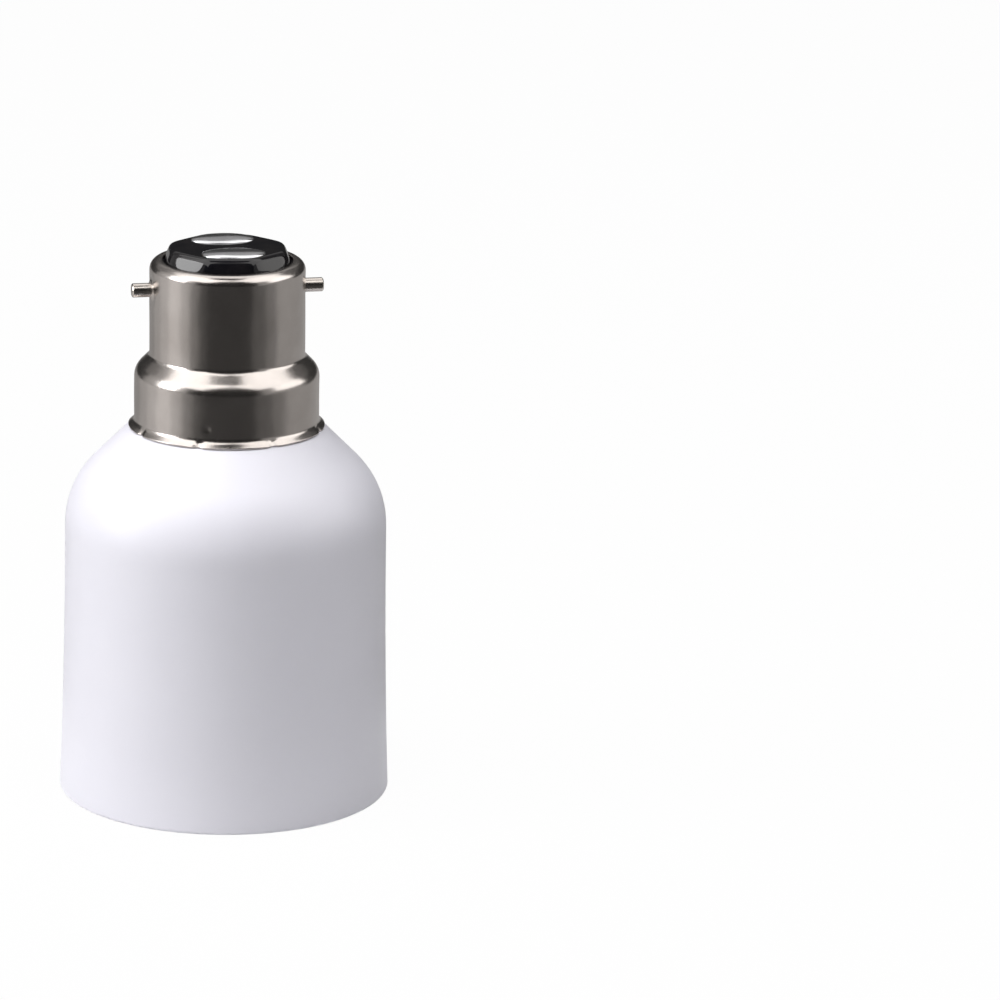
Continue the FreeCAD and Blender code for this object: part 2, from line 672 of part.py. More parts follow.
# Bayonet cap
def make_cap_shell():
    shoulder_z = LEDGE_Z + SKIRT_HEIGHT
    neck_in = SKIRT_RADIUS - CAP_RADIUS
    points = [
        at(FLANGE_RADIUS, LEDGE_Z),
        at(SKIRT_RADIUS, LEDGE_Z + FLANGE_HEIGHT),
        at(SKIRT_RADIUS, shoulder_z),
        at(CAP_RADIUS, shoulder_z + neck_in),
        at(CAP_RADIUS, CAP_TOP_Z),
        at(CAP_OPENING_RADIUS, CAP_TOP_Z),
    ]
    bends = [FLANGE_BEND_RADIUS, SHOULDER_ROUND, SHOULDER_FILLET, CAP_LIP_RADIUS]
    shell = revolved(sheet_section(points, bends, CAP_SHEET))
    shell = shell.cut(cylinder(FLANGE_RADIUS + OVERRUN, LEDGE_Z - OVERRUN, LEDGE_Z))
    bar = Part.makeCylinder(PIN_SHANK_RADIUS, 4 * CAP_RADIUS, FreeCAD.Vector(-2 * CAP_RADIUS, 0, PIN_Z),
                            FreeCAD.Vector(1, 0, 0))
    shell = shell.cut(bar)
    for index in range(CRIMP_COUNT):
        crimp = block(FLANGE_RADIUS - CRIMP_DEPTH, FLANGE_RADIUS + OVERRUN, -CRIMP_WIDTH / 2, CRIMP_WIDTH / 2,
                      LEDGE_Z - OVERRUN, LEDGE_Z + FLANGE_HEIGHT)
        shell = shell.cut(turned(crimp, 360 * (index + 0.5) / CRIMP_COUNT))
    return shell


def make_pin(side):
    head_x = math.sqrt(CAP_BORE_RADIUS ** 2 - PIN_HEAD_RADIUS ** 2)
    tip_x = PIN_TIP_RADIUS
    pin = polygon_revolved([
        at(0, head_x - PIN_HEAD_THICKNESS),
        at(PIN_HEAD_RADIUS, head_x - PIN_HEAD_THICKNESS),
        at(PIN_HEAD_RADIUS, head_x),
        at(PIN_SHANK_RADIUS, head_x),
        at(PIN_SHANK_RADIUS, CAP_RADIUS),
        at(PIN_RADIUS, CAP_RADIUS),
        at(PIN_RADIUS, tip_x - PIN_CHAMFER),
        at(PIN_RADIUS - PIN_CHAMFER, tip_x),
        at(0, tip_x),
    ])
    pin.rotate(ORIGIN, FreeCAD.Vector(0, 1, 0), 90 * side)
    pin.translate(FreeCAD.Vector(0, 0, PIN_Z))
    return pin


def faceted_frustum():
    """Eight-sided pressed top of the glass with softened edges, cut round where it leaves the cap."""
    bottom_z = CAP_TOP_Z - CAP_SHEET - GLASS_CLEARANCE
    bottom_apothem = GLASS_TOP_APOTHEM + (GLASS_TOP_Z - bottom_z) * GLASS_SLOPE
    rings = []
    for apothem, z in ((bottom_apothem, bottom_z), (GLASS_TOP_APOTHEM, GLASS_TOP_Z)):
        corner_radius = apothem / math.cos(math.pi / GLASS_FACETS)
        corners = []
        for index in range(GLASS_FACETS + 1):
            angle = 2 * math.pi * (index + 0.5) / GLASS_FACETS
            corners.append(FreeCAD.Vector(corner_radius * math.cos(angle), corner_radius * math.sin(angle), z))
        rings.append(Part.makePolygon(corners))
    frustum = Part.makeLoft(rings, True, True)
    middle_z = (bottom_z + GLASS_TOP_Z) / 2
    soft_edges = [edge for edge in frustum.Edges if edge.BoundBox.ZMax > middle_z]
    frustum = frustum.makeFillet(GLASS_EDGE_ROUND, soft_edges)
    foot = cylinder(CAP_OPENING_RADIUS - GLASS_CLEARANCE, bottom_z, GLASS_TOP_Z)
    return turned(frustum.common(foot), GLASS_TURN)


def plate_shape(side, grow, bottom_z, top_z):
    ellipse = Part.Ellipse(ORIGIN, CONTACT_HALF_LENGTH + grow, CONTACT_HALF_WIDTH + grow).toShape()
    plate = Part.Face(Part.Wire(ellipse)).extrude(FreeCAD.Vector(0, 0, top_z - bottom_z))
    plate.translate(FreeCAD.Vector(0, side * CONTACT_OFFSET, bottom_z))
    return plate


def make_cap_insulator():
    bore = CAP_BORE_RADIUS - GLASS_CLEARANCE
    top_z = CAP_TOP_Z - CAP_SHEET - GLASS_CLEARANCE
    lip_round = CAP_LIP_RADIUS - CAP_SHEET
    edges = [
        line(at(0, GLASS_BOTTOM_Z), at(GLASS_BOSS_RADIUS, GLASS_BOTTOM_Z)),
        line(at(GLASS_BOSS_RADIUS, GLASS_BOTTOM_Z), at(GLASS_BOSS_RADIUS, GLASS_RIM_Z)),
        line(at(GLASS_BOSS_RADIUS, GLASS_RIM_Z), at(bore, GLASS_RIM_Z)),
        line(at(bore, GLASS_RIM_Z), at(bore, top_z - lip_round)),
        arc(at(bore - lip_round, top_z - lip_round), lip_round, 0, 90),
        line(at(bore - lip_round, top_z), at(0, top_z)),
        line(at(0, top_z), at(0, GLASS_BOTTOM_Z)),
    ]
    glass = revolved(edges).fuse(faceted_frustum())
    for side in (-1, 1):
        glass = glass.cut(plate_shape(side, GLASS_CLEARANCE, GLASS_TOP_Z - CONTACT_PLATE, GLASS_TOP_Z + OVERRUN))
        hole = cylinder(EYELET_RADIUS + GLASS_CLEARANCE, GLASS_BOTTOM_Z - OVERRUN, GLASS_TOP_Z, 0, side * CONTACT_OFFSET)
        glass = glass.cut(hole)
    return glass


def make_contact_eyelet(side):
    plate = plate_shape(side, 0.0, GLASS_TOP_Z - CONTACT_PLATE, GLASS_TOP_Z)
    shank = cylinder(EYELET_RADIUS, EYELET_END_Z, GLASS_TOP_Z, 0, side * CONTACT_OFFSET)
    bore = cylinder(EYELET_BORE_RADIUS, EYELET_END_Z - OVERRUN, GLASS_TOP_Z + OVERRUN, 0, side * CONTACT_OFFSET)
    return plate.fuse(shank).cut(bore)


def make_solder_contact(side):
    """Low solder dome over the contact plate."""
    stretch = FreeCAD.Matrix()
    stretch.scale(CONTACT_HALF_LENGTH, CONTACT_HALF_WIDTH, SOLDER_HEIGHT)
    dome = Part.makeSphere(1.0, ORIGIN, UP, 0, 90, 360).transformGeometry(stretch)
    dome.translate(FreeCAD.Vector(0, side * CONTACT_OFFSET, GLASS_TOP_Z))
    return dome


# Wires from the terminals to the contacts
def live_route():
    half_width = TERMINAL_TAB_WIDTH / 2
    tab_x = -math.sqrt(BUSH_FLANGE_RADIUS ** 2 - half_width ** 2)
    x = tab_x - CORE_RADIUS
    start_z = FLOOR_BACK_Z + TERMINAL_TAB_HEIGHT - BARE_END
    return route_between(FreeCAD.Vector(x, 0, start_z), 1)


def neutral_route():
    reach = TAG_REACH + CORE_RADIUS
    angle = math.radians(TAG_ANGLE)
    x = reach * math.cos(angle)
    y = reach * math.sin(angle) - SCREW_OFFSET
    start_z = FLOOR_Z + TAG_TAB_HEIGHT - BARE_END
    return route_between(FreeCAD.Vector(x, y, start_z), -1)


def route_between(start, side):
    """Up beside the tab, across the neck in an easy slant, then straight into the eyelet."""
    rise = EYELET_END_Z - start.z
    end_y = side * CONTACT_OFFSET
    above_tab = FreeCAD.Vector(start.x, start.y, start.z + rise * RISE_BESIDE_TAB)
    middle_x = start.x * MIDDLE_DRAW_IN
    middle_y = (start.y + end_y) / 2 * MIDDLE_SLACK
    middle = FreeCAD.Vector(middle_x, middle_y, start.z + rise * RISE_AT_MIDDLE)
    under_glass = FreeCAD.Vector(0, end_y, start.z + rise * RISE_UNDER_GLASS)
    end = FreeCAD.Vector(0, end_y, GLASS_TOP_Z)
    return [start, above_tab, middle, under_glass, end]


def make_wire(name, points):
    core_edges, bends = routed(points)
    save(name + "_core", swept_solid(core_edges, CORE_RADIUS))
    sleeve_points = list(points)
    sleeve_points[0] = points[0] + UP * (BARE_END + SLEEVE_START_GAP)
    sleeve_points[-1] = FreeCAD.Vector(points[-1].x, points[-1].y, GLASS_BOTTOM_Z - SLEEVE_END_GAP)
    sleeve_edges = bent_path(sleeve_points, bends)
    save(name + "_sleeve", swept_solid(sleeve_edges, SLEEVE_RADIUS, CORE_RADIUS + SLEEVE_BORE_CLEARANCE))
    print(name, "bend radii", [round(bend, 1) for bend in bends])


os.makedirs("parts", exist_ok=True)
save("housing", make_housing())
save("screw_shell", make_screw_shell())
save("shell_tag", make_shell_tag())
save("contact_terminal", make_contact_terminal())
save("contact_bush", make_contact_bush())
save("centre_contact", make_centre_contact())
save("contact_spring", make_contact_spring())
save("cap_shell", make_cap_shell())
save("cap_insulator", make_cap_insulator())
for side, place in ((-1, "front"), (1, "back")):
    save("shell_screw_" + place, make_screw(side))
    save("contact_eyelet_" + place, make_contact_eyelet(side))
    save("solder_contact_" + place, make_solder_contact(side))
for side, place in ((-1, "left"), (1, "right")):
    save("bayonet_pin_" + place, make_pin(side))
make_wire("live_wire", live_route())
make_wire("neutral_wire", neutral_route())
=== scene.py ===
import math

import bpy
import numpy as np
from mathutils import Matrix, Vector


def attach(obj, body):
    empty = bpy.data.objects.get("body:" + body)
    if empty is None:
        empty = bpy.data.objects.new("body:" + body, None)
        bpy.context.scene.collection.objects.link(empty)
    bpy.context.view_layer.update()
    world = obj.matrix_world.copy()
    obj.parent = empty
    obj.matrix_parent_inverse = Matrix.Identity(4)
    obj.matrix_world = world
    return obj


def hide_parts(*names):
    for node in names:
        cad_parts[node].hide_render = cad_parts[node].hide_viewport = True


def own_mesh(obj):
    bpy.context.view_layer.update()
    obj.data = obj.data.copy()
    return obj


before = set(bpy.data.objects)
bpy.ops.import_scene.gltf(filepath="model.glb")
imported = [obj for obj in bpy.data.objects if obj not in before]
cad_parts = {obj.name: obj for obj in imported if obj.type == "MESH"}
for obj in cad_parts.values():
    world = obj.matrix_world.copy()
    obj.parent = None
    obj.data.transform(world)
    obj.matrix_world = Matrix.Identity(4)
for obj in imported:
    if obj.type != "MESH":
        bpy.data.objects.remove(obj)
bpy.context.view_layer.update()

MM = 0.001

# Camera, in metres: where it stands, the point in the middle of the picture, and its tilt in degrees
CAMERA_PLACE = Vector((-0.13921, -0.78952, 0.27100))
CAMERA_AIM = Vector((0.03844, -0.00678, 0.04262))
CAMERA_ROLL = 1.182
CAMERA_LENS = 210.61
CAMERA_SENSOR = 36.0
CAMERA_NEAR = 0.05
CAMERA_FAR = 20.0

# Least number of straight pieces in a rounded corner
ARC_LEAST_PIECES = 4

# Places round the axis, counted from +X
FRONT = -math.pi / 2
BACK = math.pi / 2
RIGHT = 0.0
LEFT = math.pi

# Cap shell, in millimetres, as the drawn sheet runs from its flange to its lip
LEDGE_Z = 53.427
LEDGE_GAP = 0.02
FLANGE_RADIUS = 13.92
FLANGE_INSET = 0.04
FLANGE_HEIGHT = 1.0
FLANGE_EDGE = 0.28
FLANGE_EDGE_ROUND = 0.1
FLANGE_BEND = 1.0
SKIRT_RADIUS = 13.1
SKIRT_HEIGHT = 8.35
SHOULDER_Z = LEDGE_Z + SKIRT_HEIGHT
SHOULDER_ROUND = 2.6
SHOULDER_FILLET = 1.0
CAP_RADIUS = 11.0
CAP_HEIGHT = 24.12
CAP_TOP_Z = LEDGE_Z + CAP_HEIGHT
CAP_OPENING_RADIUS = 9.15
CAP_SHEET = 0.3
LIP_ROUND = 1.4
PIN_BELOW_TOP = 4.07
PIN_Z = CAP_TOP_Z - PIN_BELOW_TOP
CAP_COLUMNS = 288
CAP_STEP = 0.25

# Marks of the crimping jaws: a pinch at each, the sheet pulled in round it, the flange lifted between them
JAWS = 8
JAW_ANGLE = math.radians(-26.5)
JAW_WIDTH = 0.5
JAW_DEPTH = 0.42
JAW_FADE = 0.7
JAW_PULL = 0.05
JAW_PULL_HEIGHT = 2.6
JAW_LIFT = 0.22
JAW_LIFT_LEVEL = 0.75
JAW_LIFT_RUN = 0.5

# Knocks on the skirt, a punch mark and a shallow one: turn from the front in degrees, height, width, depth
KNOCKS = [
    (-21.9, 56.1, 0.4, 0.16),
    (28.0, 57.9, 1.4, 0.02),
]

# Staking round a pin: a raised ring and a dip outside it, and how far round the cap it may reach, in radians
STAKE_RING_RADIUS = 1.15
STAKE_RING_WIDTH = 0.35
STAKE_RING_HEIGHT = 0.10
STAKE_DIP_RADIUS = 1.9
STAKE_DIP_WIDTH = 0.4
STAKE_DIP_DEPTH = 0.13
STAKE_REACH = 0.5

# Faint waves in the drawn sheet: depth, waves round the cap, and rise per radian
WAVES = [
    (0.02, 3, 3.1),
    (0.012, 7, -1.9),
    (0.006, 13, 1.3),
]
WAVES_START = 1.5
WAVES_RUN = 2.0

# Glass: a round body in the cap, and a pressed top with soft facets
GLASS_STANDS_PROUD = 1.85
GLASS_DEPTH = 7.4
GLASS_RIM_DEPTH = 2.4
GLASS_TOP_Z = CAP_TOP_Z + GLASS_STANDS_PROUD
GLASS_BOTTOM_Z = CAP_TOP_Z - GLASS_DEPTH
GLASS_RIM_Z = CAP_TOP_Z - GLASS_RIM_DEPTH
GLASS_RADIUS = 10.65
GLASS_BOSS_RADIUS = 8.2
GLASS_SEAT_GAP = 0.05
GLASS_FOOT_Z = CAP_TOP_Z - CAP_SHEET - GLASS_SEAT_GAP
GLASS_TOP_APOTHEM = 8.0
GLASS_FOOT_APOTHEM = 8.85
GLASS_FOOT_SPREAD = 0.15
GLASS_NECK_RADIUS = 9.08
GLASS_NECK_CRISPNESS = 60
GLASS_AXIS_GAP = 0.05
GLASS_EDGE = 0.2
GLASS_FOOT_ROUND = 0.1
GLASS_TOP_ROUND = 1.0
GLASS_FACETS = 8
GLASS_TURN = math.radians(-7.0)
FACET_CRISPNESS = 22
FACET_RUN = 0.2
GLASS_COLUMNS = 288
GLASS_STEP = 0.25

# Solder domes on the glass
DOME_OFFSET = 4.55
DOME_HALF_LENGTH = 4.56
DOME_HALF_WIDTH = 2.86
DOME_HEIGHT = 0.62
DOME_FOOT = 0.1
DOME_COLUMNS = 96

# Rings of a dome, closer at its edge: first and last as shares of the dome, and how many
DOME_RINGS = [
    (0.01, 0.9, 18),
    (0.92, 1.0, 8),
]

# Unevenness of a dome: waves in its outline, and slumps of its top, with ripples in radians per millimetre
DOME_COARSE_WAVES = 3
DOME_COARSE_DEPTH = 0.012
DOME_FINE_WAVES = 5
DOME_FINE_DEPTH = 0.008
DOME_SLUMP_ALONG = 0.05
DOME_SLUMP_ACROSS = 0.04
DOME_RIPPLE_ALONG = 0.9
DOME_RIPPLE_ACROSS = 1.7

# Rolled screw shell
SHELL_SHEET = 0.35
SHELL_RIM_Z = 4.5
SHELL_RIM_RADIUS = 20.22
FLARE_END_Z = 5.3
FLARE_BEND = 0.8
THREAD_START_Z = 6.7
THREAD_END_Z = 28.29
THREAD_PITCH = 6.35
THREAD_MAJOR_RADIUS = 19.9
THREAD_DEPTH = 1.8
THREAD_RUNOUT_TURNS = 0.6
THREAD_RUNOUT = THREAD_RUNOUT_TURNS * THREAD_PITCH
PLAIN_RADIUS = THREAD_MAJOR_RADIUS - THREAD_DEPTH / 2
PLAIN_MARGIN = 0.2
DISH_Z = 29.79
DISH_BEND = 1.2
SHELF_Z = 34.19
SHELF_RADIUS = 15.6
SHELF_BEND = 0.5
STEP_TOP_RADIUS = 15.05
STEP_FOOT_RADIUS = 14.7
STEP_BEND = 0.25
SHELL_BOTTOM_Z = 34.79
SHELL_HOLE_RADIUS = 5.25
WALL_ROWS = 52
SHELL_COLUMNS = 360
COLLAR_STEP = 0.3
DISH_STEP = 0.6

# Fine teeth on the shell's rim, left by the rolling
RIM_TEETH = 90
TOOTH_DEPTH = 0.09
TOOTH_FADE = 0.8
TOOTH_HEIGHT = 0.08
TOOTH_LENGTH = 0.5

# Dimples pressed into the shell's dish beside its screws; their reach round the axis is in radians
DIMPLE_RADIUS = 17.3
DIMPLE_WIDTH = 2.2
DIMPLE_DEPTH = 0.35
DIMPLE_SQUASH = 1.6
DIMPLE_REACH = 0.6
DIMPLE_MARGIN = 0.4

# Scales of the surfaces' noise, depths of their bumps in metres, and how far their roughness varies
PLASTIC_CLOUD = 60.0
PLASTIC_SKIN = 2600.0
PLASTIC_BUMP = 0.00002
PLASTIC_SHEEN_SPREAD = 0.03
METAL_STAIN = 140.0
METAL_SKIN = 330.0
METAL_SKIN_STRETCH = (1.0, 1.0, 0.45)
METAL_SKIN_BUMP = 0.00003
METAL_MARK_BUMP = 0.00002
METAL_SHEEN_SPREAD = 0.1
GLASS_CLOUD = 300.0
GLASS_BUMP = 0.00004
GLASS_GRAIN = 0.15
GLASS_SHEEN = (0.05, 0.09)
NOISE_MIDDLE = (0.3, 0.7)


# Nodes and materials
def new_material(name):
    material = bpy.data.materials.new(name)
    material.use_nodes = True
    tree = material.node_tree
    return material, tree, tree.nodes["Principled BSDF"]


def bare_material(name):
    """A material with nothing in its tree."""
    material = bpy.data.materials.new(name)
    material.use_nodes = True
    material.node_tree.nodes.clear()
    return material, material.node_tree


def node(tree, kind, **settings):
    made = tree.nodes.new(kind)
    for key, value in settings.items():
        setattr(made, key, value)
    return made


def place_texture(tree, scale, stretch=(1.0, 1.0, 1.0), detail=3.0):
    """Noise in the object's own coordinates; stretch is per axis, so that streaks can run one way."""
    coordinates = node(tree, "ShaderNodeTexCoord")
    mapping = node(tree, "ShaderNodeMapping")
    mapping.inputs["Scale"].default_value = stretch
    noise = node(tree, "ShaderNodeTexNoise")
    noise.inputs["Scale"].default_value = scale
    noise.inputs["Detail"].default_value = detail
    tree.links.new(coordinates.outputs["Object"], mapping.inputs["Vector"])
    tree.links.new(mapping.outputs["Vector"], noise.inputs["Vector"])
    return noise


def spread(tree, source, low, high):
    """Maps the middle range of a noise onto a range of values."""
    ramp = node(tree, "ShaderNodeMapRange")
    ramp.inputs["From Min"].default_value = NOISE_MIDDLE[0]
    ramp.inputs["From Max"].default_value = NOISE_MIDDLE[1]
    ramp.inputs["To Min"].default_value = low
    ramp.inputs["To Max"].default_value = high
    tree.links.new(source, ramp.inputs["Value"])
    return ramp.outputs["Result"]


def mixed(tree, source, first, second):
    """Two colours, mixed by a value from 0 to 1."""
    blend = node(tree, "ShaderNodeMix", data_type="RGBA")
    blend.inputs["A"].default_value = first + (1.0,)
    blend.inputs["B"].default_value = second + (1.0,)
    tree.links.new(source, blend.inputs["Factor"])
    return blend.outputs["Result"]


def bumped(tree, shader, source, strength, distance, under=None):
    """Adds a bump, on top of the bump under it where one is given."""
    bump = node(tree, "ShaderNodeBump")
    bump.inputs["Strength"].default_value = strength
    bump.inputs["Distance"].default_value = distance
    tree.links.new(source, bump.inputs["Height"])
    if under is not None:
        tree.links.new(under.outputs["Normal"], bump.inputs["Normal"])
    tree.links.new(bump.outputs["Normal"], shader.inputs["Normal"])
    return bump


def plastic(name, colour, shade, roughness, grain):
    """Moulded thermoplastic: an even colour with a faint cloud in it and a fine tool texture."""
    material, tree, shader = new_material(name)
    cloud = place_texture(tree, PLASTIC_CLOUD).outputs["Fac"]
    tone = spread(tree, cloud, 0.0, 1.0)
    sheen = spread(tree, cloud, roughness - PLASTIC_SHEEN_SPREAD, roughness + PLASTIC_SHEEN_SPREAD)
    tree.links.new(mixed(tree, tone, colour, shade), shader.inputs["Base Color"])
    tree.links.new(sheen, shader.inputs["Roughness"])
    skin = place_texture(tree, PLASTIC_SKIN, detail=2.0)
    bumped(tree, shader, skin.outputs["Fac"], grain, PLASTIC_BUMP)
    return material


def metal(name, colour, shade, roughness, streak=(1.0, 1.0, 1.0), scale=900.0, grain=0.1, waver=0.15):
    """Plated or bare metal with a wavering skin; the streak stretches its fine marks along the draw."""
    material, tree, shader = new_material(name)
    shader.inputs["Metallic"].default_value = 1.0
    stain = place_texture(tree, METAL_STAIN)
    tone = spread(tree, stain.outputs["Fac"], 0.0, 1.0)
    tree.links.new(mixed(tree, tone, colour, shade), shader.inputs["Base Color"])
    marks = place_texture(tree, scale, streak, detail=4.0).outputs["Fac"]
    sheen = spread(tree, marks, roughness * (1 - METAL_SHEEN_SPREAD), roughness * (1 + METAL_SHEEN_SPREAD))
    tree.links.new(sheen, shader.inputs["Roughness"])
    skin = place_texture(tree, METAL_SKIN, METAL_SKIN_STRETCH, detail=2.0)
    wavy = bumped(tree, shader, skin.outputs["Fac"], waver, METAL_SKIN_BUMP)
    bumped(tree, shader, marks, grain, METAL_MARK_BUMP, under=wavy)
    return material


def black_glass():
    """Pressed glass, black all through, with a faintly uneven skin."""
    material, tree, shader = new_material("black_glass")
    cloud = place_texture(tree, GLASS_CLOUD).outputs["Fac"]
    tone = spread(tree, cloud, 0.0, 1.0)
    colour = mixed(tree, tone, (0.006, 0.006, 0.008), (0.012, 0.011, 0.012))
    tree.links.new(colour, shader.inputs["Base Color"])
    tree.links.new(spread(tree, cloud, *GLASS_SHEEN), shader.inputs["Roughness"])
    bumped(tree, shader, cloud, GLASS_GRAIN, GLASS_BUMP)
    return material


WHITE_PLASTIC = plastic(
    "white_plastic", (0.845, 0.835, 0.905), (0.83, 0.82, 0.89), roughness=0.42, grain=0.05,
)
BUSH_PLASTIC = plastic("bush_plastic", (0.78, 0.78, 0.76), (0.74, 0.74, 0.72), roughness=0.5, grain=0.08)
CAP_METAL = metal(
    "cap_nickel", (0.64, 0.6, 0.575), (0.54, 0.5, 0.475), roughness=0.22,
    streak=(1.0, 1.0, 0.3), scale=2200.0, grain=0.16, waver=0.7,
)
PIN_METAL = metal("pin_nickel", (0.68, 0.63, 0.59), (0.6, 0.56, 0.52), roughness=0.22)
SHELL_METAL = metal(
    "shell_nickel", (0.7, 0.61, 0.52), (0.62, 0.54, 0.46), roughness=0.2,
    streak=(1.0, 1.0, 0.4), scale=500.0, grain=0.15,
)
SOLDER = metal("solder", (0.86, 0.87, 0.9), (0.74, 0.75, 0.78), roughness=0.2, scale=260.0, grain=0.3)
SCREW_METAL = metal("screw_plate", (0.74, 0.72, 0.68), (0.66, 0.64, 0.6), roughness=0.25)
BRASS = metal("brass", (0.8, 0.6, 0.28), (0.72, 0.53, 0.24), roughness=0.25)
STEEL = metal("spring_steel", (0.7, 0.7, 0.7), (0.6, 0.6, 0.6), roughness=0.25)
COPPER = metal("copper", (0.85, 0.5, 0.34), (0.75, 0.42, 0.28), roughness=0.25)
BROWN_SLEEVE = plastic("live_sleeve", (0.2, 0.08, 0.03), (0.17, 0.07, 0.03), roughness=0.45, grain=0.1)
BLUE_SLEEVE = plastic("neutral_sleeve", (0.02, 0.08, 0.35), (0.02, 0.07, 0.3), roughness=0.45, grain=0.1)
BLACK_GLASS = black_glass()

NODE_MATERIALS = {
    "housing": WHITE_PLASTIC,
    "screw_shell": SHELL_METAL,
    "shell_tag": BRASS,
    "contact_terminal": BRASS,
    "contact_bush": BUSH_PLASTIC,
    "centre_contact": BRASS,
    "contact_spring": STEEL,
    "cap_shell": CAP_METAL,
    "cap_insulator": BLACK_GLASS,
    "shell_screw_front": SCREW_METAL,
    "shell_screw_back": SCREW_METAL,
    "contact_eyelet_front": BRASS,
    "contact_eyelet_back": BRASS,
    "solder_contact_front": SOLDER,
    "solder_contact_back": SOLDER,
    "bayonet_pin_left": PIN_METAL,
    "bayonet_pin_right": PIN_METAL,
    "live_wire_core": COPPER,
    "live_wire_sleeve": BROWN_SLEEVE,
    "neutral_wire_core": COPPER,
    "neutral_wire_sleeve": BLUE_SLEEVE,
}


def dress_nodes():
    for name, material in NODE_MATERIALS.items():
        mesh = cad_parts[name].data
        mesh.materials.clear()
        mesh.materials.append(material)


# Profiles and turned meshes, in millimetres
def rounded(points, radii, step):
    """Even polyline along the points, with an arc of the given radius at each inner corner."""
    corners = [np.array(point, dtype=float) for point in points]
    path = [corners[0]]
    for index in range(1, len(corners) - 1):
        corner = corners[index]
        back = corners[index - 1] - corner
        ahead = corners[index + 1] - corner
        back /= np.linalg.norm(back)
        ahead /= np.linalg.norm(ahead)
        half = math.acos(float(np.clip(back @ ahead, -1.0, 1.0))) / 2
        radius = radii[index - 1]
        reach = radius / math.tan(half)
        middle = (back + ahead) / np.linalg.norm(back + ahead)
        centre = corner + middle * (radius / math.sin(half))
        turn = math.pi - 2 * half
        pieces = max(ARC_LEAST_PIECES, int(math.ceil(radius * turn / step)))
        first = corner + back * reach - centre
        sign = 1.0 if back[0] * ahead[1] - back[1] * ahead[0] < 0 else -1.0
        for piece in range(pieces + 1):
            angle = sign * turn * piece / pieces
            spun = np.array([
                first[0] * math.cos(angle) - first[1] * math.sin(angle),
                first[0] * math.sin(angle) + first[1] * math.cos(angle),
            ])
            path.append(centre + spun)
    path.append(corners[-1])
    return refined(path, step)


def refined(path, step):
    """The same path with its long stretches cut up."""
    dense = []
    for start, end in zip(path[:-1], path[1:]):
        pieces = max(1, int(math.ceil(np.linalg.norm(end - start) / step)))
        for piece in range(pieces):
            dense.append(start + (end - start) * piece / pieces)
    dense.append(path[-1])
    return np.array(dense)


def moved_in(path, distance):
    """The same path moved sideways, to the left of its run."""
    run = np.gradient(path, axis=0)
    run /= np.linalg.norm(run, axis=1)[:, None]
    return path + np.stack([-run[:, 1], run[:, 0]], axis=1) * distance


def columns_round(count):
    """Even angles round the axis, counted from +X, as one row."""
    return np.linspace(0.0, 2 * math.pi, count, endpoint=False)[None, :]


def counted_from(angles, place):
    """The same angles counted from a place round the axis, from minus to plus half a turn."""
    return np.angle(np.exp(1j * (angles - place)))


def turned_grid(profile, angles):
    """Radius and height of each point of a profile at each angle."""
    radius = np.repeat(profile[:, :1], angles.shape[1], axis=1)
    height = np.repeat(profile[:, 1:], angles.shape[1], axis=1)
    return radius, height


def bell(distance, width):
    return np.exp(-(distance / width) ** 2)


def fade_in(distance, run):
    """Grows evenly from 0 to 1 along the run, and stays there."""
    return np.clip(distance / run, 0.0, 1.0)


def ring_mesh(name, radius, height, angles, closed, material):
    """Mesh from a grid of rings: rows along the profile, columns round the axis."""
    rows, columns = radius.shape
    x = radius * np.cos(angles)
    y = radius * np.sin(angles)
    points = (np.stack([x, y, height], axis=2) * MM).reshape(-1, 3)
    faces = []
    for row in range(rows if closed else rows - 1):
        above = (row + 1) % rows
        for column in range(columns):
            beside = (column + 1) % columns
            faces.append((
                row * columns + column,
                row * columns + beside,
                above * columns + beside,
                above * columns + column,
            ))
    if not closed:
        faces.append(tuple(reversed(range(columns))))
        faces.append(tuple((rows - 1) * columns + column for column in range(columns)))
    mesh = bpy.data.meshes.new(name)
    mesh.from_pydata(points.tolist(), [], faces)
    mesh.materials.append(material)
    for polygon in mesh.polygons:
        polygon.use_smooth = True
    piece = bpy.data.objects.new(name, mesh)
    bpy.context.scene.collection.objects.link(piece)
    return piece


def finish_piece(piece, slot, *replaced):
    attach(piece, "adapter")
    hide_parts(*replaced)


# Cap shell: drawn sheet with its crimped flange, the jaws' marks, knocks and the staked pin holes
def cap_profile():
    """Closed outline of the sheet: its outer side from flange to lip, and its inner side back."""
    corners = [
        (FLANGE_RADIUS - FLANGE_INSET, LEDGE_Z + LEDGE_GAP),
        (FLANGE_RADIUS, LEDGE_Z + FLANGE_EDGE),
        (SKIRT_RADIUS, LEDGE_Z + FLANGE_HEIGHT),
        (SKIRT_RADIUS, SHOULDER_Z),
        (CAP_RADIUS, SHOULDER_Z + SKIRT_RADIUS - CAP_RADIUS),
        (CAP_RADIUS, CAP_TOP_Z),
        (CAP_OPENING_RADIUS, CAP_TOP_Z),
    ]
    bends = [FLANGE_EDGE_ROUND, FLANGE_BEND, SHOULDER_ROUND, SHOULDER_FILLET, LIP_ROUND]
    outer = rounded(corners, bends, CAP_STEP)
    inner = moved_in(outer, CAP_SHEET)[::-1]
    inner[:, 1] = np.maximum(inner[:, 1], LEDGE_Z + LEDGE_GAP)
    return np.concatenate([outer, inner[1::2]])


